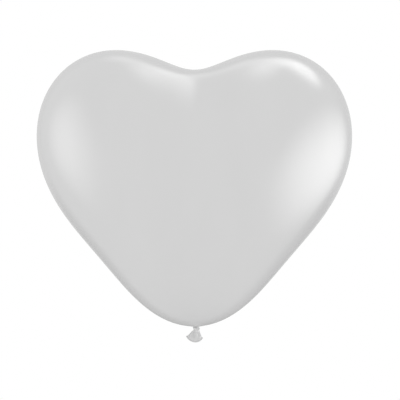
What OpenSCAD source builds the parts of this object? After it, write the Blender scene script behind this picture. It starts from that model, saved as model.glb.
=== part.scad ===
// Heart-shaped latex party balloon, blown up and tied with an overhand knot.
// Millimetres. +Z is up, +X is to the right and the front faces -Y.
// The origin is on the neck, halfway between the heart's underside and the knot, where a ribbon is tied.

/* [Heart] */
// Width across the two lobes
heart_w = 380; // [280:1:460]
// Height from the rounded tip to the top of the lobes
heart_h = 332; // [240:1:400]
// Thickness from front to back
heart_depth = 208; // [150:1:260]
// Wall of the skin, drawn as thick as the film is before it is blown up
skin_t = 0.25; // [0.2:0.05:0.5]
// How much deeper the heart is at the top than at the tip, as a share of its depth
top_fullness = 0.10; // [0:0.01:0.2]
// Depth of the valley that runs down each face from the cleft, as a share of the heart's depth
valley_share = 0.27; // [0:0.01:0.4]
// Half-width of that valley, as a share of half the heart's width
valley_reach = 0.42; // [0.3:0.01:0.7]
// Depth of the sharper crease just below the cleft, as a share of the heart's depth
crease_share = 0.09; // [0:0.01:0.15]

/* [Neck and knot] */
// How far the neck sits to the right of the heart's centre line
neck_shift = 2.3; // [0:0.1:4]
// Radius of the gathered neck
neck_r = 2.2; // [1.8:0.1:2.4]
// Length of neck that shows between the heart and the knot
neck_gap = 0.7; // [0.4:0.1:3]
// Height of the knot
knot_h = 4.2; // [4:0.1:5]
// Radius of the strand inside the knot
knot_core_r = 2.95; // [2.85:0.05:3.1]
// Radius of the knot over its outer turn
knot_r = 4.15; // [3.9:0.05:4.6]
// Radius of the strand that makes the outer turn
turn_r = 1.4; // [1.2:0.05:1.5]
// Slope of the outer turn
turn_tilt = 6; // [0:1:8]
// How far below the knot the tail bends
bend_drop = 1.0; // [0.9:0.05:1.2]

/* [Tail] */
// Radius of the gathered strand where it leaves the knot
exit_r = 2.6; // [2.4:0.1:2.7]
// Width of the flared tail between its two corners, over the rolled lip
tail_w = 20.5; // [16:0.1:24]
// Drop from the origin to the lowest point of the lip
tail_drop = 19.6; // [18:0.1:24]
// How much higher the tail's corners are than its middle
corner_rise = 5.7; // [3:0.1:7.5]
// How much higher the left corner is than the right one
corner_skew = 1.9; // [0:0.1:4]
// How far the middle of the mouth sits to the left of the neck
mouth_shift = 2.2; // [0:0.1:4]
// Opening of the mouth from front to back, between the middles of its lips
mouth_open = 6.4; // [5.5:0.1:9]
// Wall of the tail's film
tail_t = 0.4; // [0.3:0.05:0.5]
// Radius of the rolled lip
lip_r = 0.85; // [0.6:0.05:1]

/* [Hidden] */

latex_colour = [0.83, 0.83, 0.83];
lip_colour = [0.78, 0.78, 0.78];
running_gap = 0.05;        // between a part that turns and what it turns in
smooth = 64;               // sides of a true circle

// The heart's outline is a sum of four waves each way, as shares of its width and height:
// across = sum of side_share[k] * sin((k + 1) * turn), up = sum of rise_share[k] * cos((k + 1) * turn).
side_share = [0.4505, 0.0211, -0.0353, -0.0289];
rise_share = [0.5093, -0.0551, -0.0443, -0.0407];
tip_z = neck_gap / 2;
// The waves put the tip this far below the middle that they swing about
middle_z = tip_z + heart_h * (rise_share[0] - rise_share[1] + rise_share[2] - rise_share[3]);
// Near the tip, a step of 1 on the unit sphere moves this far across
tip_stretch = heart_w * (side_share[0] - 2 * side_share[1] + 3 * side_share[2] - 4 * side_share[3]);
pole_tilt = asin(neck_shift / tip_stretch);

crease_reach = 0.12;       // how fast the crease fades sideways, and how round its bottom is
crease_round = 0.06;

skin_columns = 64;
skin_rings = 36;
last_ring_lat = -86;       // latitude of the last full ring before the neck hole
neck_hole_r = neck_r + 0.03;

knot_top = -neck_gap / 2;
knot_bottom = knot_top - knot_h;
knot_middle = (knot_top + knot_bottom) / 2;
neck_bottom = knot_top - 1.9;      // the neck ends inside the knot
bend_z = knot_bottom - bend_drop;  // centre of the ball that the tail bends about
throat_top = bend_z - 1.5;
throat_bottom = throat_top - 0.6;
throat_top_r = 3.1;
throat_r = 3.4;

tail_columns = 48;
tail_rings = 8;
lip_sides = 8;

// ---- the heart ----

function unit(p) = p / norm(p);

// A point of the unit sphere: [across, towards the front, up], with the poles turned so that the lower one is at the neck
function globe(lon, lat) =
    let (a = cos(lat) * sin(lon), f = cos(lat) * cos(lon), up = sin(lat))
    [a * cos(pole_tilt) - up * sin(pole_tilt), f, a * sin(pole_tilt) + up * cos(pole_tilt)];

function ease(t) = let (s = min(1, max(0, t))) s * s * (3 - 2 * s);

// The share of the full depth that is left where the wide valley and the crease run down from the cleft
function valley(a, up) =
    (1 - valley_share * ease((up + 0.15) / 1.05) * exp(-pow(a / valley_reach, 2)))
    * (1 - crease_share * ease((up - 0.2) / 0.75) * exp((crease_round - norm([a, crease_round])) / crease_reach));

// Carries a point of the unit sphere onto the heart. Each wave of the outline fades inwards as its own
// power of the distance from the middle, so the faces are smooth all over.
function on_heart(g) =
    let (a = g[0], f = g[1], up = g[2])
    [
        heart_w * (side_share[0] * a
            + side_share[1] * 2 * a * up
            + side_share[2] * (3 * up * up * a - pow(a, 3))
            + side_share[3] * (4 * pow(up, 3) * a - 4 * up * pow(a, 3))) - neck_shift,
        -heart_depth / 2 * f * (1 + top_fullness * up) * valley(a, up),
        middle_z + heart_h * (rise_share[0] * up
            + rise_share[1] * (up * up - a * a)
            + rise_share[2] * (pow(up, 3) - 3 * up * a * a)
            + rise_share[3] * (pow(up, 4) - 6 * up * up * a * a + pow(a, 4)))
    ];

// The way out of the skin, taken from the ellipsoid that the heart is drawn from
function outwards(g) = unit([g[0] / heart_w, -g[1] / heart_depth, g[2] / heart_h]);

function skin_point(lon, lat, depth) = let (g = globe(lon, lat)) on_heart(g) - depth * outwards(g);

// One side of the skin: the upper pole, the rings down to the neck, then the rim of the neck hole
function skin_side(depth) = concat(
    [skin_point(0, 90, depth)],
    [for (j = [1 : skin_rings]) for (i = [0 : skin_columns - 1])
        skin_point(i * 360 / skin_columns, 90 - j * (90 - last_ring_lat) / skin_rings, depth)],
    [for (i = [0 : skin_columns - 1])
        [neck_hole_r * sin(i * 360 / skin_columns), -neck_hole_r * cos(i * 360 / skin_columns), tip_z + depth]]
);

// Two triangles of a band between ring a and ring b, each given by its first point's number
function band(a, b, n) = [for (i = [0 : n - 1]) let (k = (i + 1) % n) each [[a + i, a + k, b + k], [a + i, b + k, b + i]]];

function turned(faces) = [for (f = faces) [f[2], f[1], f[0]]];

module heart_envelope() {
    n = skin_columns;
    side = 1 + n * (skin_rings + 1);
    one_side = concat(
        [for (i = [0 : n - 1]) [0, 1 + (i + 1) % n, 1 + i]],
        [for (j = [0 : skin_rings - 1]) each turned(band(1 + j * n, 1 + (j + 1) * n, n))]
    );
    rim = 1 + skin_rings * n;
    color(latex_colour) polyhedron(
        points = concat(skin_side(0), skin_side(skin_t)),
        faces = concat(
            one_side,
            turned([for (f = one_side) [f[0] + side, f[1] + side, f[2] + side]]),
            turned(band(rim, rim + side, n))
        ),
        convexity = 4
    );
}

// ---- the neck and the knot ----

module neck_stem() {
    color(latex_colour) translate([0, 0, neck_bottom])
        cylinder(r = neck_r, h = tip_z + skin_t - neck_bottom, $fn = smooth);
}

// The strand inside the knot, with a bore on top for the neck and a hollow below for the strand that leaves it
module knot_core() {
    edge = 0.4;
    color(latex_colour) difference() {
        rotate_extrude($fn = smooth) polygon([
            [0, knot_top], [knot_core_r - edge, knot_top], [knot_core_r, knot_top - edge],
            [knot_core_r, knot_bottom + edge], [knot_core_r - edge, knot_bottom], [0, knot_bottom]
        ]);
        translate([0, 0, neck_bottom - running_gap])
            cylinder(r = neck_r + running_gap, h = knot_h, $fn = smooth);
        translate([0, 0, bend_z]) sphere(r = exit_r + running_gap, $fn = smooth);
    }
}

// The one turn that the strand makes round itself
module knot_turn() {
    color(latex_colour) difference() {
        translate([0, 0, knot_middle]) rotate([0, turn_tilt, 0])
            rotate_extrude($fn = smooth) translate([knot_r - turn_r, 0]) circle(r = turn_r, $fn = smooth);
        translate([0, 0, knot_bottom - 1])
            cylinder(r = knot_core_r + 0.02, h = knot_h + 2, $fn = smooth);
    }
}

// ---- the tail ----

module exit_strand() {
    color(latex_colour) translate([0, 0, bend_z]) sphere(r = exit_r, $fn = smooth);
}

module tail_throat() {
    color(latex_colour) difference() {
        translate([0, 0, throat_bottom]) cylinder(r1 = throat_r, r2 = throat_top_r, h = throat_top - throat_bottom, $fn = smooth);
        translate([0, 0, bend_z]) sphere(r = exit_r + running_gap, $fn = smooth);
    }
}

// A point of the flared tail: q runs from the throat, 0, to the mouth, 1, and turn goes round it from the front.
// It widens fastest just under the throat. inset takes the point in by the film's thickness.
function tail_point(q, turn, inset) =
    let (half_w = throat_r + pow(q, 0.6) * (tail_w / 2 - lip_r - throat_r) - inset,
         half_open = throat_r + q * (mouth_open / 2 - throat_r) - inset,
         down = throat_bottom + q * (lip_r - tail_drop - throat_bottom))
    [
        -q * mouth_shift + half_w * sin(turn),
        -half_open * cos(turn),
        down + q * q * (corner_rise * pow(sin(turn), 2) - corner_skew / 2 * sin(turn))
    ];

function tail_ring(q, inset) = [for (i = [0 : tail_columns - 1]) tail_point(q, i * 360 / tail_columns, inset)];

module tail_skirt() {
    n = tail_columns;
    m = tail_rings;
    inner = n * (m + 1);
    wall = [for (j = [0 : m - 1]) each turned(band(j * n, (j + 1) * n, n))];
    color(latex_colour) polyhedron(
        points = concat(
            [for (j = [0 : m]) each tail_ring(j / m, 0)],
            [for (j = [0 : m]) each tail_ring(j / m, tail_t)]
        ),
        faces = concat(
            wall,
            turned([for (f = wall) [f[0] + inner, f[1] + inner, f[2] + inner]]),
            band(0, inner, n),
            turned(band(m * n, inner + m * n, n))
        ),
        convexity = 4
    );
}

// The lip is the tail's edge rolled up: a round tube along the edge of the mouth
module rolled_lip() {
    n = tail_columns;
    k = lip_sides;
    points = [for (i = [0 : n - 1])
        let (turn = i * 360 / n,
             here = tail_point(1, turn, tail_t / 2),
             along = unit(tail_point(1, turn + 2, tail_t / 2) - tail_point(1, turn - 2, tail_t / 2)),
             out = unit(cross(along, [0, 0, 1])),
             up = cross(out, along))
        for (s = [0 : k - 1]) here + lip_r * (cos(s * 360 / k) * out + sin(s * 360 / k) * up)];
    color(lip_colour) polyhedron(
        points = points,
        faces = [for (i = [0 : n - 1]) for (s = [0 : k - 1])
            let (a = i * k, b = ((i + 1) % n) * k, t = (s + 1) % k)
            each [[a + s, b + t, a + t], [a + s, b + s, b + t]]],
        convexity = 4
    );
}

heart_envelope();
neck_stem();
knot_core();
knot_turn();
exit_strand();
tail_throat();
tail_skirt();
rolled_lip();
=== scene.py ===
import bpy
import math
import numpy as np
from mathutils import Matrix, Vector


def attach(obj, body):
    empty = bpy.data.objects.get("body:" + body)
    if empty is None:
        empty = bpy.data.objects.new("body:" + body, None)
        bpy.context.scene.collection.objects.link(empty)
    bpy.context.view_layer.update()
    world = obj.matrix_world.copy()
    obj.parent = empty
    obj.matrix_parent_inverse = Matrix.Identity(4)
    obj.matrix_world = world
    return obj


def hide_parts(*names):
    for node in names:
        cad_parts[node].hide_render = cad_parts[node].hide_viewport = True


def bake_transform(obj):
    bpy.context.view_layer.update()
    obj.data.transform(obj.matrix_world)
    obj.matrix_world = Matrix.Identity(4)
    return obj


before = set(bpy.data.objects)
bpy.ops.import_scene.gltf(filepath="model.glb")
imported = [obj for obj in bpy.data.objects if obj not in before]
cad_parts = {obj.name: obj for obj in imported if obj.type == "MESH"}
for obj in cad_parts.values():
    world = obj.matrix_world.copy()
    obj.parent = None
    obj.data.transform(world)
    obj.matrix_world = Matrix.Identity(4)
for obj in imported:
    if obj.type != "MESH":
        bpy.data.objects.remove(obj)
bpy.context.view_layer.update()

millimetre = 0.001
fullTurn = 2 * math.pi


def ease(share):
    # 0 to 1 with a flat start and a flat end: 3 s^2 - 2 s^3
    share = np.clip(share, 0, 1)
    return share * share * (3 - 2 * share)


def mixed(low, high, share):
    return low + (high - low) * share


def around(count):
    # angles round a ring, from the front towards the right, without repeating the first
    return np.arange(count) * fullTurn / count


def drift(turn, waves):
    # a sum of slow sines round a ring, each with its size, count and start
    return sum(size * np.sin(count * turn + start) for size, count, start in waves)


def unit(vectors):
    return vectors / np.linalg.norm(vectors, axis=1, keepdims=True)


def tubeRings(path, along, wide, high):
    # A section carried along a path: path + wide * out + high * up, where out is level and square to the
    # path's direction, and up is square to both
    out = unit(np.cross(unit(along), [0, 0, 1.0]))
    up = np.cross(out, unit(along))
    return path[:, None, :] + wide[..., None] * out[:, None, :] + high[..., None] * up[:, None, :]


def tubeFaces(rows, columns, closed):
    # quads between neighbouring rings, each ring joined to itself, and in a closed tube the last to the first
    first = (np.arange(rows if closed else rows - 1) * columns)[:, None]
    second = (first + columns) % (rows * columns)
    here = np.arange(columns)[None, :]
    there = (here + 1) % columns
    return np.stack([first + here, first + there, second + there, second + here], -1).reshape(-1, 4)


def capFaces(pole, ringStart, columns, flip):
    # a fan of triangles from a pole to a ring
    here = np.arange(columns)
    there = (here + 1) % columns
    fan = np.stack([np.full(columns, pole), ringStart + here, ringStart + there], -1)
    return fan[:, ::-1] if flip else fan


def signedVolume(points, faces):
    # sum of the tetrahedra from the origin to each triangle of each face's fan
    total = 0.0
    for group in faces:
        for corner in range(1, group.shape[1] - 1):
            a, b, c = points[group[:, 0]], points[group[:, corner]], points[group[:, corner + 1]]
            total += np.einsum("ij,ij->i", a, np.cross(b, c)).sum() / 6
    return total


def meshPiece(name, points, faces, finish, foldShadeMask):
    # A mesh from points in millimetres, with its faces turned outwards. The last argument is a number per
    # point
    # from 0, in a valley, to 1, on a ridge: the mask for painted shade in the valleys, which the finish
    # reads.
    if signedVolume(points, faces) < 0:
        faces = [group[:, ::-1] for group in faces]
    mesh = bpy.data.meshes.new(name)
    mesh.from_pydata((points * millimetre).tolist(), [], [face for group in faces for face in group.tolist()])
    mesh.polygons.foreach_set("use_smooth", np.ones(len(mesh.polygons), bool))
    layer = mesh.attributes.new("foldShadeMask", "FLOAT", "POINT")
    layer.data.foreach_set("value", foldShadeMask.astype(np.float32))
    mesh.materials.append(finish)
    mesh.update()
    piece = bpy.data.objects.new(name, mesh)
    bpy.context.scene.collection.objects.link(piece)
    print("  made", name, "with", len(mesh.polygons), "faces")
    return piece


def closedPiece(name, rings, topPole, bottomPole, finish, foldShadeMask):
    # A closed surface from rings of points (rows, columns, xyz) and a pole at each end
    rows, columns, _ = rings.shape
    points = np.concatenate([np.array([topPole], float), rings.reshape(-1, 3), np.array([bottomPole], float)])
    bottom = len(points) - 1
    fans = [capFaces(0, 1, columns, True), capFaces(bottom, bottom - columns, columns, False)]
    flat = foldShadeMask.reshape(-1)
    return meshPiece(name, points, [tubeFaces(rows, columns, False) + 1, np.concatenate(fans)], finish,
                     np.concatenate([flat[:1], flat, flat[-1:]]))


def ringPiece(name, rings, finish, foldShadeMask):
    # A closed tube whose last ring joins the first, from points (rows, columns, xyz)
    rows, columns, _ = rings.shape
    return meshPiece(name, rings.reshape(-1, 3), [tubeFaces(rows, columns, True)], finish, foldShadeMask.reshape(-1))


class Value:
    # A socket that can stand in a sum: each operator adds its Math node to the tree.
    def __init__(self, tree, socket):
        self.tree = tree
        self.socket = socket

    def step(self, operation, *items):
        node = self.tree.nodes.new("ShaderNodeMath")
        node.operation = operation
        for number, item in enumerate(items):
            feed(self.tree, item, node.inputs[number])
        return Value(self.tree, node.outputs[0])

    def __add__(self, other):
        return self.step("ADD", self, other)

    def __mul__(self, other):
        return self.step("MULTIPLY", self, other)

    def __sub__(self, other):
        return self.step("SUBTRACT", self, other)

    def __rsub__(self, other):
        return self.step("SUBTRACT", other, self)

    __rmul__ = __mul__


def feed(tree, item, socket):
    if isinstance(item, Value):
        tree.links.new(item.socket, socket)
    else:
        socket.default_value = item


class Nodes:
    # A node tree to add to: add() takes a node's type, its settings and the values or links of its sockets.
    def __init__(self, owner):
        owner.use_nodes = True
        self.tree = owner.node_tree

    def add(self, kind, settings=None, sockets=None, output=0):
        node = self.tree.nodes.new(kind)
        for name, setting in (settings or {}).items():
            setattr(node, name, setting)
        for name, item in (sockets or {}).items():
            feed(self.tree, item, node.inputs[name])
        return Value(self.tree, node.outputs[output])

    def ramp(self, value, start, end, low=0.0, high=1.0):
        # low before start, high after end, and a smooth step between them
        return self.add("ShaderNodeMapRange", {"interpolation_type": "SMOOTHSTEP"},
                        {"Value": value, "From Min": start, "From Max": end, "To Min": low, "To Max": high})

    def colourMix(self, share, first, second, blend="MIX"):
        # sockets 6 and 7 and output 2 are the node's colour ones
        return self.add("ShaderNodeMix", {"data_type": "RGBA", "blend_type": blend},
                        {0: share, 6: first, 7: second}, 2)

    def shaderMix(self, share, first, second):
        return self.add("ShaderNodeMixShader", None, {0: share, 1: first, 2: second})

    def length(self, place, centre=None, scale=None):
        # how far a place is from a centre, or from the origin, after each axis is scaled
        if centre:
            place = self.add("ShaderNodeVectorMath", {"operation": "SUBTRACT"}, {0: place, 1: centre})
        if scale:
            place = self.add("ShaderNodeVectorMath", {"operation": "MULTIPLY"}, {0: place, 1: scale})
        return self.add("ShaderNodeVectorMath", {"operation": "LENGTH"}, {0: place}, "Value")

    def noise(self, place, scale, detail):
        return self.add("ShaderNodeTexNoise", None, {"Vector": place, "Scale": scale, "Detail": detail})


def grey(level):
    return (level, level, level, 1.0)


def latexFinish(name, look):
    # Pearl grey latex, darker near the tip from thicker film and from painted shade; painted shade in fold
    # valleys.
    finish = bpy.data.materials.new(name)
    nodes = Nodes(finish)
    shader = nodes.tree.nodes["Principled BSDF"]
    place = nodes.add("ShaderNodeTexCoord", None, None, "Object")
    reach = nodes.length(place)
    # darker towards the tip: partly the thick film's own colour, partly painted shade of the lower part
    tautnessAndTipShade = nodes.ramp(reach, look["tautFrom"], look["tautTo"])
    drawn = nodes.add("ShaderNodeMapping", None, {"Vector": place, "Scale": look["cloudStretch"]})
    cloudy = nodes.noise(drawn, look["cloudScale"], look["cloudDetail"])
    grain = nodes.noise(place, look["grainScale"], look["grainDetail"])
    foldShadeMask = nodes.add("ShaderNodeAttribute", {"attribute_name": "foldShadeMask"}, None, "Fac")
    film = nodes.colourMix(tautnessAndTipShade, grey(look["slackGrey"]), grey(look["tautGrey"]))
    clouded = nodes.colourMix((cloudy - 0.5) * look["cloudShare"] + 0.5, grey(0.0), grey(1.0))
    film = nodes.colourMix(1.0, film, clouded, "SOFT_LIGHT")
    # painted shade in the valleys of folds, pleats and grooves
    film = nodes.colourMix((1 - foldShadeMask) * look["foldShadeShare"], film, grey(look["foldShadeGrey"]))
    rough = (cloudy - 0.5) * look["roughSpread"] + look["roughness"] + (grain - 0.5) * look["roughSpread"]
    relief = nodes.add("ShaderNodeBump", None,
                       {"Strength": look["bumpStrength"], "Distance": look["bumpHeight"], "Height": grain})
    feed(nodes.tree, film, shader.inputs["Base Color"])
    feed(nodes.tree, rough, shader.inputs["Roughness"])
    feed(nodes.tree, relief, shader.inputs["Normal"])
    shader.inputs["IOR"].default_value = look["ior"]
    return finish


heartLook = {
    "tautFrom": -0.02, "tautTo": 0.07,       # distances from the tip, in metres: the thick film's colour and painted shade fade out between them
    "slackGrey": 0.60, "tautGrey": 0.655,
    "cloudScale": 1.0, "cloudDetail": 2.0, "cloudStretch": (22.0, 22.0, 7.0), "cloudShare": 0.05,
    "grainScale": 1400.0, "grainDetail": 3.0,
    # painted shade in the valleys of folds and pleats: its share and its grey
    "foldShadeShare": 0.35, "foldShadeGrey": 0.42,
    "roughness": 0.17, "roughSpread": 0.04, "bumpStrength": 0.06, "bumpHeight": 0.00012, "ior": 1.52,
}

# lengths are in millimetres; across and up run from -1 to 1 over the unit sphere that the heart is bent from
heart = {
    "width": 380.0, "height": 332.0, "depth": 208.0,
    "sideShare": (0.4505, 0.0211, -0.0353, -0.0289),     # the outline's waves across, as shares of the width
    "riseShare": (0.5093, -0.0551, -0.0443, -0.0407),    # and upwards, as shares of the height
    "topFullness": 0.10,                     # how much deeper the heart is at the top than in the middle
    "valleyShare": 0.24, "valleyReach": 0.42, "valleyFrom": -0.15, "valleyRun": 1.05,
    "creaseShare": 0.12, "creaseReach": 0.28, "creaseRound": 0.05, "creaseFrom": 0.0, "creaseRun": 0.85,
    "tipHeight": 0.35,                       # of the tip above the origin
    "neckShift": 2.3,                        # of the neck from the heart's middle line
    "columns": 240, "rows": 130, "tipRows": 34,
    "topAngle": 178.6, "tipAngle": 12.0, "roundAngle": 10.0,    # degrees up from the neck's pole
    "neckRadius": 3.0, "neckEnd": -2.2, "neckFlare": 0.15, "flareReach": 1.4,
    "filletWidth": 0.8, "filletDrop": 0.6, "filletRows": 6, "stemRows": 6,
    "pleats": 17, "pleatDrift": ((0.9, 3, 1.0), (0.6, 5, 2.2)),
    "pleatDepth": 0.26, "pleatReach": 4.5, "skinPleat": 0.8, "stemPleat": 0.6,
    "pleatFade": (0.7, 0.4, 0.15),           # of the skin's pleats down the first rings of the fillet
}


def heartPoint(across, front, up):
    # Carries a point of the unit sphere onto the heart. The outline is a sum of four waves, and each wave
    # fades inwards as its own power of the distance from the middle. The depth shrinks along a wide valley
    # and a narrower crease that run down from the cleft.
    side, rise = heart["sideShare"], heart["riseShare"]
    middle = heart["tipHeight"] + heart["height"] * (rise[0] - rise[1] + rise[2] - rise[3])
    x = heart["width"] * (side[0] * across + side[1] * 2 * across * up
                          + side[2] * (3 * up ** 2 * across - across ** 3)
                          + side[3] * (4 * up ** 3 * across - 4 * up * across ** 3)) - heart["neckShift"]
    z = middle + heart["height"] * (rise[0] * up + rise[1] * (up ** 2 - across ** 2)
                                    + rise[2] * (up ** 3 - 3 * up * across ** 2)
                                    + rise[3] * (up ** 4 - 6 * up ** 2 * across ** 2 + across ** 4))
    valleyWidth = np.exp(-(across / heart["valleyReach"]) ** 2)
    valley = 1 - heart["valleyShare"] * ease((up - heart["valleyFrom"]) / heart["valleyRun"]) * valleyWidth
    roundness = heart["creaseRound"]
    creaseWidth = np.exp((roundness - np.hypot(across, roundness)) / heart["creaseReach"])
    crease = 1 - heart["creaseShare"] * ease((up - heart["creaseFrom"]) / heart["creaseRun"]) * creaseWidth
    y = -heart["depth"] / 2 * front * (1 + heart["topFullness"] * up) * valley * crease
    return np.stack([x, y, z], -1)


def neckRings(turn, wave, startHeight, skinEdge):
    # A quarter-round fillet and the gathered neck below it: radius and height along the profile, with the
    # radius drawn in by the pleats. The skin's own pleats fade out down the first rings.
    filletStart = heart["neckRadius"] + heart["filletWidth"]
    bend = np.linspace(0, math.pi / 2, heart["filletRows"] + 1)[1:]
    filletHeight = startHeight - heart["filletDrop"] * (1 - np.cos(bend))
    stem = np.linspace(0, 1, heart["stemRows"] + 1)[1:]
    radius = np.concatenate([filletStart - heart["filletWidth"] * np.sin(bend),
                             np.full(heart["stemRows"], heart["neckRadius"])])[:, None]
    height = np.concatenate([filletHeight, mixed(filletHeight[-1], heart["neckEnd"], stem)])[:, None]
    gathered = ease((filletStart - radius) / heart["filletWidth"])
    radius = radius + heart["pleatDepth"] * heart["stemPleat"] * (wave - 1) * gathered
    rings = np.stack([radius * np.sin(turn), -radius * np.cos(turn), height + 0 * turn], -1)
    fade = np.array(heart["pleatFade"])[:, None]
    rings[:len(fade), :, 2] += (skinEdge - startHeight) * fade
    return rings


def buildHeartSkin():
    # Rings round a nearly upright axis whose lower pole is at the neck, then the neck. Near the tip the
    # rings go from oval to round, so that they meet it, and the skin is drawn down and pleated.
    side = heart["sideShare"]
    tipStretch = heart["width"] * (side[0] - 2 * side[1] + 3 * side[2] - 4 * side[3])
    depthStretch = heart["depth"] / 2 * (1 - heart["topFullness"])
    filletStart = heart["neckRadius"] + heart["filletWidth"]
    tilt = math.asin(heart["neckShift"] / tipStretch)
    turn = around(heart["columns"])[None, :]
    tipAngle = math.radians(heart["tipAngle"])
    upper = np.linspace(math.radians(heart["topAngle"]), tipAngle, heart["rows"])
    lower = np.geomspace(tipAngle, math.asin(filletStart / tipStretch), heart["tipRows"])[1:]
    fromTip = np.concatenate([upper, lower])[:, None]
    rounding = 1 + (tipStretch / depthStretch - 1) * ease(1 - fromTip / math.radians(heart["roundAngle"]))
    across = np.sin(fromTip) * np.sin(turn)
    front = np.sin(fromTip) * np.cos(turn) * rounding
    up = -np.sign(np.cos(fromTip)) * np.sqrt(np.clip(1 - across ** 2 - front ** 2, 0, 1))
    skin = heartPoint(across * math.cos(tilt) - up * math.sin(tilt), front,
                      across * math.sin(tilt) + up * math.cos(tilt))

    wave = np.cos(heart["pleats"] * turn + drift(turn, heart["pleatDrift"]))
    distance = np.hypot(skin[..., 0], skin[..., 1]) - filletStart
    nearTip = skin[..., 2] < heart["height"] / 2
    strength = np.where(nearTip, np.exp(-(distance / heart["pleatReach"]) ** 2), 0)
    flare = np.where(nearTip, heart["neckFlare"] * np.exp(-distance / heart["flareReach"]), 0)
    skin[..., 2] -= flare - heart["pleatDepth"] * heart["skinPleat"] * strength * (wave - 1)

    neck = neckRings(turn, wave, float(skin[-1, :, 2].mean()), skin[-1:, :, 2])
    # painted shade in the valleys of the pleats near the tip and round the neck
    foldShadeMask = np.concatenate([1 - strength * (0.5 - 0.5 * wave), np.repeat(0.5 + 0.5 * wave, len(neck), 0)])
    topPole = heartPoint(np.array(-math.sin(tilt)), np.array(0.0), np.array(math.cos(tilt)))
    return closedPiece("heartSkin", np.concatenate([skin, neck]), topPole, (0, 0, heart["neckEnd"]),
                       heartFinish, foldShadeMask)


heartFinish = latexFinish("tautLatex", heartLook)
heartSkin = buildHeartSkin()
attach(heartSkin, "balloon")
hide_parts("heart_envelope", "neck_stem")
print("heart done")


knotLook = dict(heartLook, tautFrom=0.5, tautTo=1.0, slackGrey=0.72, foldShadeShare=0.4, foldShadeGrey=0.5,
                cloudStretch=(260.0, 260.0, 60.0), cloudShare=0.12, grainScale=5000.0,
                roughness=0.34, roughSpread=0.08, bumpStrength=0.25, bumpHeight=0.00005)

knot = {
    "top": 0.25, "bottom": -4.55, "poleDepth": 0.05,
    "coreRadius": 3.5, "coreWaist": 0.7,                 # the waist is a share of the radius
    "coreFrom": 0.06, "coreRun": 0.88,                   # the part of a half wave that the swell takes
    "corePleats": 11, "corePleatDepth": 0.16, "corePleatDrift": ((0.8, 2, 0.4),), "coreTwist": 0.5,
    "coreColumns": 132, "coreRows": 40,
    "turnRadius": 2.85, "turnStart": -1.5, "turnEnd": -2.95, "turnSlope": 0.25, "turnLead": 0.04,
    "turns": 1.16, "tuckShare": 0.14, "tuckDepth": 1.5, "tuckThinning": 0.33,
    "tubeRadius": 1.3, "tubeWide": 1.02, "tubeHigh": 1.05, "tubeColumns": 40, "tubeRows": 120,
    "ridges": 5, "ridgeDepth": 0.09, "ridgeSwing": 2.0, "ridgeStart": 0.5,
}


def buildKnotCore():
    # A barrel whose radius swells from the neck to the middle, with pleats that twist a little on the way
    # down: radius(s) + pleats(turn + twist * s)
    along = np.linspace(0, 1, knot["coreRows"])[:, None]
    turn = around(knot["coreColumns"])[None, :]
    bulge = np.sqrt(np.clip(np.sin(math.pi * (knot["coreFrom"] + knot["coreRun"] * along)), 0, 1))
    twist = turn + knot["coreTwist"] * along
    wave = np.cos(knot["corePleats"] * twist + drift(twist, knot["corePleatDrift"]))
    swell = mixed(knot["coreWaist"], 1.0, bulge)
    radius = knot["coreRadius"] * swell + knot["corePleatDepth"] * (wave - 1) / 2
    height = mixed(knot["top"], knot["bottom"], along) + 0 * turn
    rings = np.stack([radius * np.sin(turn), -radius * np.cos(turn), height], -1)
    # painted shade in the valleys of the pleats
    return closedPiece("knotCore", rings, (0, 0, knot["top"] - knot["poleDepth"]),
                       (0, 0, knot["bottom"] + knot["poleDepth"]), knotFinish, 0.5 + 0.5 * wave)


def buildKnotTurn():
    # A soft tube carried a little over once round the core on a falling helix, with both ends tucked inside
    share = np.linspace(0, 1, knot["tubeRows"])
    angle = math.pi * (1 - knot["turns"] + knot["turnLead"]) + fullTurn * knot["turns"] * share
    tuck = ease(1 - share / knot["tuckShare"]) + ease((share - 1 + knot["tuckShare"]) / knot["tuckShare"])
    radius = knot["turnRadius"] - knot["tuckDepth"] * tuck
    height = mixed(knot["turnStart"], knot["turnEnd"], share) + knot["turnSlope"] * np.sin(angle)
    path = np.stack([-radius * np.sin(angle), radius * np.cos(angle), height], -1)
    section = around(knot["tubeColumns"])[None, :]
    swing = knot["ridgeSwing"] * np.sin(fullTurn * share[:, None]) + knot["ridgeStart"]
    wave = np.cos(knot["ridges"] * section + swing)
    thinning = 1 - knot["tuckThinning"] * tuck[:, None]
    size = knot["tubeRadius"] * thinning + knot["ridgeDepth"] * (wave - 1) / 2
    rings = tubeRings(path, np.gradient(path, axis=0), size * np.cos(section) * knot["tubeWide"],
                      size * np.sin(section) * knot["tubeHigh"])
    # painted shade in the valleys between the ridges
    return closedPiece("knotTurn", rings, path[0], path[-1], knotFinish, 0.5 + 0.5 * wave)


knotFinish = latexFinish("gatheredLatex", knotLook)
knotCore = buildKnotCore()
knotTurn = buildKnotTurn()
for piece, node in ((knotCore, "knot_core"), (knotTurn, "knot_turn")):
    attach(piece, "knot")
    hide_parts(node)
print("knot done")


tailLook = dict(knotLook, slackGrey=0.65, foldShadeShare=0.4, foldShadeGrey=0.48, roughness=0.36)
lipLook = dict(knotLook, slackGrey=0.62, foldShadeShare=0.3, foldShadeGrey=0.48, roughness=0.4)

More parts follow.
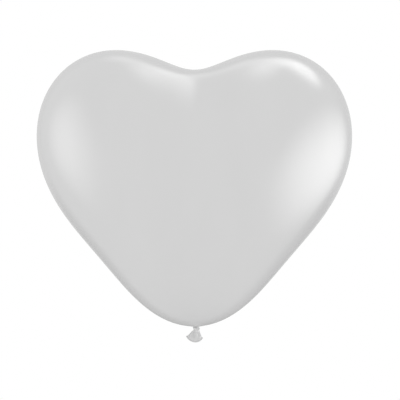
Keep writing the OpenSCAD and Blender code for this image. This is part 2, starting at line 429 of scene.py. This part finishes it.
# share runs from 0 at the top of the film to 1 at the mouth
tail = {
    "gatherFrom": -4.2, "gatherTo": -6.4, "filmFrom": -6.6, "filmTo": -8.6,   # heights on the strand and the film
    "startHeight": -6.6, "startHalfWidth": 5.45, "startHalfDepth": 3.05, "startShift": -0.95,
    "lipHeight": -17.9, "halfWidth": 9.4, "halfOpening": 3.2, "shift": -2.2,
    "widthPower": 0.92, "belly": 0.18,
    "cornerRise": 4.95, "cornerSkew": 2.0, "cornerRound": 0.35, "edgePower": 1.1,
    "folds": 6, "foldTurn": math.radians(19), "foldDepth": 0.75,
    "fineFolds": 17, "fineDrift": ((1.3, 2, 0.0),), "fineDepth": 0.2, "broadShare": 0.65,
    "foldStart": 0.35, "foldGrowth": 0.12, "foldFadeFrom": 0.05, "shadeFadeFrom": 0.1, "innerShade": 0.7,
    "film": 0.35, "columns": 168, "rows": 44, "innerRows": 34, "innerTop": 0.16, "innerPole": 0.6,
    "recess": 1.0, "capRings": (0.35, 0.7, 0.9),
    "knotHalfWidth": 3.3, "knotHalfDepth": 2.8, "knotHeight": -3.9, "knotPole": -3.7, "ripple": 0.05,
    "strandRows": 16, "strandInset": 0.03, "tuckShare": 0.91, "tuckInset": 0.07,
    "endShares": (0.02, 0.045, 0.06), "endInsets": (0.06, 0.2, 0.7), "endPole": 0.9,
    "lipRadius": 0.85, "lipColumns": 24, "lipWaves": ((0.036, 5, 0.7), (0.024, 11, 2.0)),
    "grooveDepth": 0.12, "grooveTurn": math.radians(135), "grooveWidth": 0.35,
}


def tailWave(turn):
    # broad folds with a valley a little left of the front, plus fine pleats; 1 on a ridge, 0 in a valley
    broad = 0.5 - 0.5 * np.cos(tail["folds"] * (turn + tail["foldTurn"]))
    fine = 0.5 + 0.5 * np.cos(tail["fineFolds"] * turn + drift(turn, tail["fineDrift"]))
    return broad, fine


def tailFoldShade(share, turn):
    # how much of a ridge a point is, for the painted shade in the valleys, which evens out towards the mouth
    broad, fine = tailWave(turn)
    even = ease((share - tail["shadeFadeFrom"]) / (1 - tail["shadeFadeFrom"]))
    return mixed(mixed(fine, broad, tail["broadShare"]), 1.0, even)


def tailPoint(share, turn, inset):
    # An oval that widens and flattens from the knot to the mouth. The corners of the mouth are raised, the
    # right one less than the left, so that the side edges run straight. Folds push the film in and fade
    # towards the mouth.
    broad, fine = tailWave(turn)
    folding = ((1 - ease((share - tail["foldFadeFrom"]) / (1 - tail["foldFadeFrom"])))
               * ease(share / tail["foldGrowth"] + tail["foldStart"]))
    push = tail["foldDepth"] * (1 - broad) * folding + tail["fineDepth"] * (1 - fine) * folding ** 2 + inset
    halfWidth = mixed(tail["startHalfWidth"], tail["halfWidth"], share ** tail["widthPower"]) - push
    halfDepth = mixed(tail["startHalfDepth"], tail["halfOpening"], share) - push
    x = mixed(tail["startShift"], tail["shift"], share) + halfWidth * np.sin(turn)
    y = -halfDepth * np.cos(turn) * (1 + tail["belly"] * np.sin(math.pi * share))
    corner = mixed(np.sin(turn) ** 2, np.sin(turn) ** 4, tail["cornerRound"])
    z = (mixed(tail["startHeight"], tail["lipHeight"], share)
         + share ** tail["edgePower"] * (tail["cornerRise"] * corner - tail["cornerSkew"] / 2 * np.sin(turn)))
    return np.stack([x, y, z], -1)


def strandPoint(share, turn, inset):
    # Straight lines from a tight oval inside the knot to the film's first ring, with the same folds
    ripple = 1 - tail["ripple"] * (1 - tailWave(turn)[1])
    tight = np.stack([(tail["knotHalfWidth"] - inset) * ripple * np.sin(turn),
                      -(tail["knotHalfDepth"] - inset) * ripple * np.cos(turn), 0 * turn], -1)
    point = mixed(tight, tailPoint(np.zeros((1, 1)), turn, inset), share[..., None])
    point[..., 2] = mixed(tail["knotHeight"], tail["startHeight"], share)
    return point


def buildGather():
    # The strand where it leaves the knot, and a short end that runs on just inside the film
    turn = around(tail["columns"])[None, :]
    strand = strandPoint(np.linspace(0, 1, tail["strandRows"])[:, None], turn, tail["strandInset"])
    end = tailPoint(np.array(tail["endShares"])[:, None], turn, np.array(tail["endInsets"])[:, None])
    rings = np.concatenate([strand, end])
    # painted shade in the valleys of the folds
    return closedPiece("strandGather", rings, (0, 0, tail["knotPole"]),
                       (tail["startShift"], 0, tail["startHeight"] - tail["endPole"]),
                       knotFinish, tailFoldShade(np.zeros((len(rings), 1)), turn))


def buildTailFilm():
    # A top that slips under the strand's surface and closes in a hollow, the outer wall down to the mouth,
    # and the inner wall back up to a gathered end
    turn = around(tail["columns"])[None, :]
    outerShare = np.linspace(0, 1, tail["rows"])[:, None]
    innerShare = np.linspace(1, tail["innerTop"], tail["innerRows"])[:, None]
    outer = tailPoint(outerShare, turn, 0.0)
    inner = tailPoint(innerShare, turn, tail["film"])
    tucked = strandPoint(np.array([[tail["tuckShare"]]]), turn, tail["tuckInset"])
    closing = np.array(tail["capRings"])[:, None, None]
    top = np.array([tail["startShift"], 0, tail["startHeight"] - tail["recess"]])
    cap = top + (tucked - top) * closing
    cap[..., 2] = top[2] + tail["recess"] * closing[..., 0] ** 2
    rings = np.concatenate([cap, tucked, outer, inner])
    capShare = np.zeros((len(closing) + 1, 1))
    # painted shade in the valleys of the folds, deeper on the inner wall
    foldShadeMask = np.concatenate([tailFoldShade(capShare, turn), tailFoldShade(outerShare, turn),
                           tailFoldShade(innerShare, turn) * tail["innerShade"]])
    bottom = inner[-1].mean(0) + np.array([0, 0, tail["innerPole"]])
    return closedPiece("tailFilm", rings, top, bottom, tailFinish, foldShadeMask)


def buildRolledLip():
    # A round bead along the edge of the mouth, slightly uneven, as film rolled up by hand is, with a shallow
    # groove where the roll meets the film: radius * (1 + slow waves) * (1 - groove)
    turn = around(tail["columns"])
    edge = tailPoint(np.ones_like(turn), turn, tail["film"] / 2)
    section = around(tail["lipColumns"])[None, :]
    fromGroove = np.angle(np.exp(1j * (section - tail["grooveTurn"])))
    groove = np.exp(-(fromGroove / tail["grooveWidth"]) ** 2)
    uneven = 1 + drift(turn, tail["lipWaves"])[:, None]
    size = tail["lipRadius"] * uneven * (1 - tail["grooveDepth"] * groove)
    rings = tubeRings(edge, np.roll(edge, -1, 0) - np.roll(edge, 1, 0), size * np.cos(section),
                      size * np.sin(section))
    # painted shade in the groove
    return ringPiece("rolledLip", rings, lipFinish, 1 - groove + 0 * uneven)


tailFinish = latexFinish("slackLatex", tailLook)
lipFinish = latexFinish("lipLatex", lipLook)
strandGather = buildGather()
tailFilm = buildTailFilm()
rolledLip = buildRolledLip()
for piece, upper, lower, spanFrom, spanTo in ((strandGather, "knot", "strand", "gatherFrom", "gatherTo"),
                                              (tailFilm, "strand", "tail", "filmFrom", "filmTo")):
    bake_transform(piece)
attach(rolledLip, "tail")
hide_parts("exit_strand")
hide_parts("tail_throat", "tail_skirt")
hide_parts("rolled_lip")
print("tail done")


# lengths are in metres
studio = {
    "floorHeight": -1.1, "floorHalf": 2.2, "floorGrey": 0.86, "floorFadeFrom": 0.2, "floorFadeTo": 1.0,
    "aim": (0.0, 0.0, 0.17),
    "lensMillimetres": 100.0, "sensorMillimetres": 36.0,
    "frameWidth": 0.483,                     # what the frame takes in at the balloon
    "cameraAcross": 0.004438, "cameraHeight": 0.15275,
    "frontLevel": 0.975, "behindLevel": 0.74, "behindLow": 0.38,    # of the room's light
    "turnFrom": 0.3, "turnTo": 0.55, "lowFrom": -0.15, "lowTo": -0.4,
    "lean": 0.07,                            # of the dim side of the room, towards the right
    "ceiling": 1.45, "boxStep": 0.03, "sideDistance": 1.6,          # of the softboxes from the aim
}

# level softboxes overhead, seen in the gloss only: across and back from the aim, turn in degrees, width,
# depth, share of the size that is fully lit, radiance
ceilingBoxes = {
    "rightBox": (1.02, 0.20, -16, 2.1, 0.95, 0.2, 4.4),
    "middleBox": (0.22, -0.02, 0, 1.0, 1.5, 0.0, 2.3),
    "backBox": (-0.16, 0.50, 0, 1.00, 0.9, 0.0, 1.0),
}

# softboxes at the sides, seen in the gloss only: azimuth from the front towards the right, elevation, width,
# height, share of the size that is fully lit, radiance
sideBoxes = {
    "rightGlow": (81, -6, 3.1, 2.3, 0.08, 4.4),
    "leftGlow": (-74, 4, 1.8, 2.3, 0.05, 2.3),
}


def buildFloor():
    # a pale floor that fades away from the balloon: to white for the camera, and to nothing for the light
    half, height = studio["floorHalf"], studio["floorHeight"]
    corners = [(-half, -half, height), (half, -half, height), (half, half, height), (-half, half, height)]
    mesh = bpy.data.meshes.new("studioFloor")
    mesh.from_pydata(corners, [], [(0, 1, 2, 3)])
    mesh.update()
    floor = bpy.data.objects.new("studioFloor", mesh)
    bpy.context.scene.collection.objects.link(floor)
    paint = bpy.data.materials.new("paleFloor")
    nodes = Nodes(paint)
    place = nodes.add("ShaderNodeTexCoord", None, None, "Object")
    reach = nodes.length(place, scale=(1.0, 1.0, 0.0))
    fade = nodes.ramp(reach, studio["floorFadeFrom"], studio["floorFadeTo"])
    seen = nodes.add("ShaderNodeLightPath", None, None, "Is Camera Ray")
    white = nodes.add("ShaderNodeEmission", None, {"Color": grey(1.0), "Strength": 1.0})
    matte = nodes.add("ShaderNodeBsdfDiffuse", None, {"Color": grey(studio["floorGrey"])})
    clear = nodes.add("ShaderNodeBsdfTransparent")
    surface = nodes.shaderMix(seen, nodes.shaderMix(fade, matte, clear), nodes.shaderMix(fade, matte, white))
    feed(nodes.tree, surface, nodes.tree.nodes["Material Output"].inputs["Surface"])
    mesh.materials.append(paint)


def buildWorld():
    # A pale studio, dimmer behind the balloon and darkest below that. The camera sees plain white.
    world = bpy.data.worlds.new("studioWorld")
    bpy.context.scene.world = world
    nodes = Nodes(world)
    direction = nodes.add("ShaderNodeTexCoord", None, None, "Generated")
    split = nodes.add("ShaderNodeSeparateXYZ", None, {0: direction})
    across, depth, height = (Value(nodes.tree, output) for output in split.socket.node.outputs)
    away = depth + studio["lean"] * across
    behind = nodes.ramp(height, studio["lowTo"], studio["lowFrom"],
                        studio["behindLow"], studio["behindLevel"])
    level = ((behind - studio["frontLevel"]) * nodes.ramp(away, studio["turnFrom"], studio["turnTo"])
             + studio["frontLevel"])
    room = nodes.add("ShaderNodeCombineXYZ", None, {0: level, 1: level, 2: level})
    seen = nodes.add("ShaderNodeLightPath", None, None, "Is Camera Ray")
    background = nodes.tree.nodes["Background"]
    feed(nodes.tree, nodes.colourMix(seen, room, grey(1.0)), background.inputs["Color"])
    background.inputs["Strength"].default_value = 1.0


def hangSoftbox(name, away, turn, width, height, core, radiance):
    # an oval softbox whose light fades from its core to its edge
    lamp = bpy.data.lights.new(name, "AREA")
    lamp.shape = "ELLIPSE"
    lamp.size, lamp.size_y = width, height
    lamp.energy = radiance * math.pi * width * height * math.pi / 4      # radiance times pi times the area
    nodes = Nodes(lamp)
    place = nodes.add("ShaderNodeNewGeometry", None, None, "Parametric")
    reach = nodes.length(place, (0.5, 0.5, 0.0), (2.0, 2.0, 0.0))
    feed(nodes.tree, nodes.ramp(reach, core, 1.0, 1.0, 0.0), nodes.tree.nodes["Emission"].inputs["Strength"])
    box = bpy.data.objects.new(name, lamp)
    bpy.context.scene.collection.objects.link(box)
    box.location = Vector(studio["aim"]) + away
    box.rotation_euler = turn
    box.visible_camera = box.visible_diffuse = False


def buildSoftboxes():
    # each box overhead hangs a little above the last: of two in one plane, the gloss would show only one
    for number, (name, (across, back, turn, *shape)) in enumerate(ceilingBoxes.items()):
        height = studio["ceiling"] + studio["boxStep"] * number
        hangSoftbox(name, Vector((across, back, height)), (0, 0, math.radians(turn)), *shape)
    for name, (azimuth, elevation, *shape) in sideBoxes.items():
        side, lift = math.radians(azimuth), math.radians(elevation)
        away = Vector((math.sin(side) * math.cos(lift), -math.cos(side) * math.cos(lift), math.sin(lift)))
        hangSoftbox(name, away * studio["sideDistance"], (-away).to_track_quat("-Z", "Y").to_euler(), *shape)


def buildCamera():
    # level and straight on, far enough back for the frame to take in its width at the balloon
    halfAngle = math.atan(studio["sensorMillimetres"] / 2 / studio["lensMillimetres"])
    distance = studio["frameWidth"] / 2 / math.tan(halfAngle)
    camera = bpy.data.cameras.new("studioCamera")
    camera.lens, camera.sensor_width = studio["lensMillimetres"], studio["sensorMillimetres"]
    stand = bpy.data.objects.new("studioCamera", camera)
    bpy.context.scene.collection.objects.link(stand)
    stand.location = (studio["cameraAcross"], -distance, studio["cameraHeight"])
    stand.rotation_euler = (math.pi / 2, 0, 0)
    bpy.context.scene.camera = stand


buildFloor()
buildWorld()
buildSoftboxes()
buildCamera()
bpy.context.scene.view_settings.view_transform = "Standard"
print("studio done")
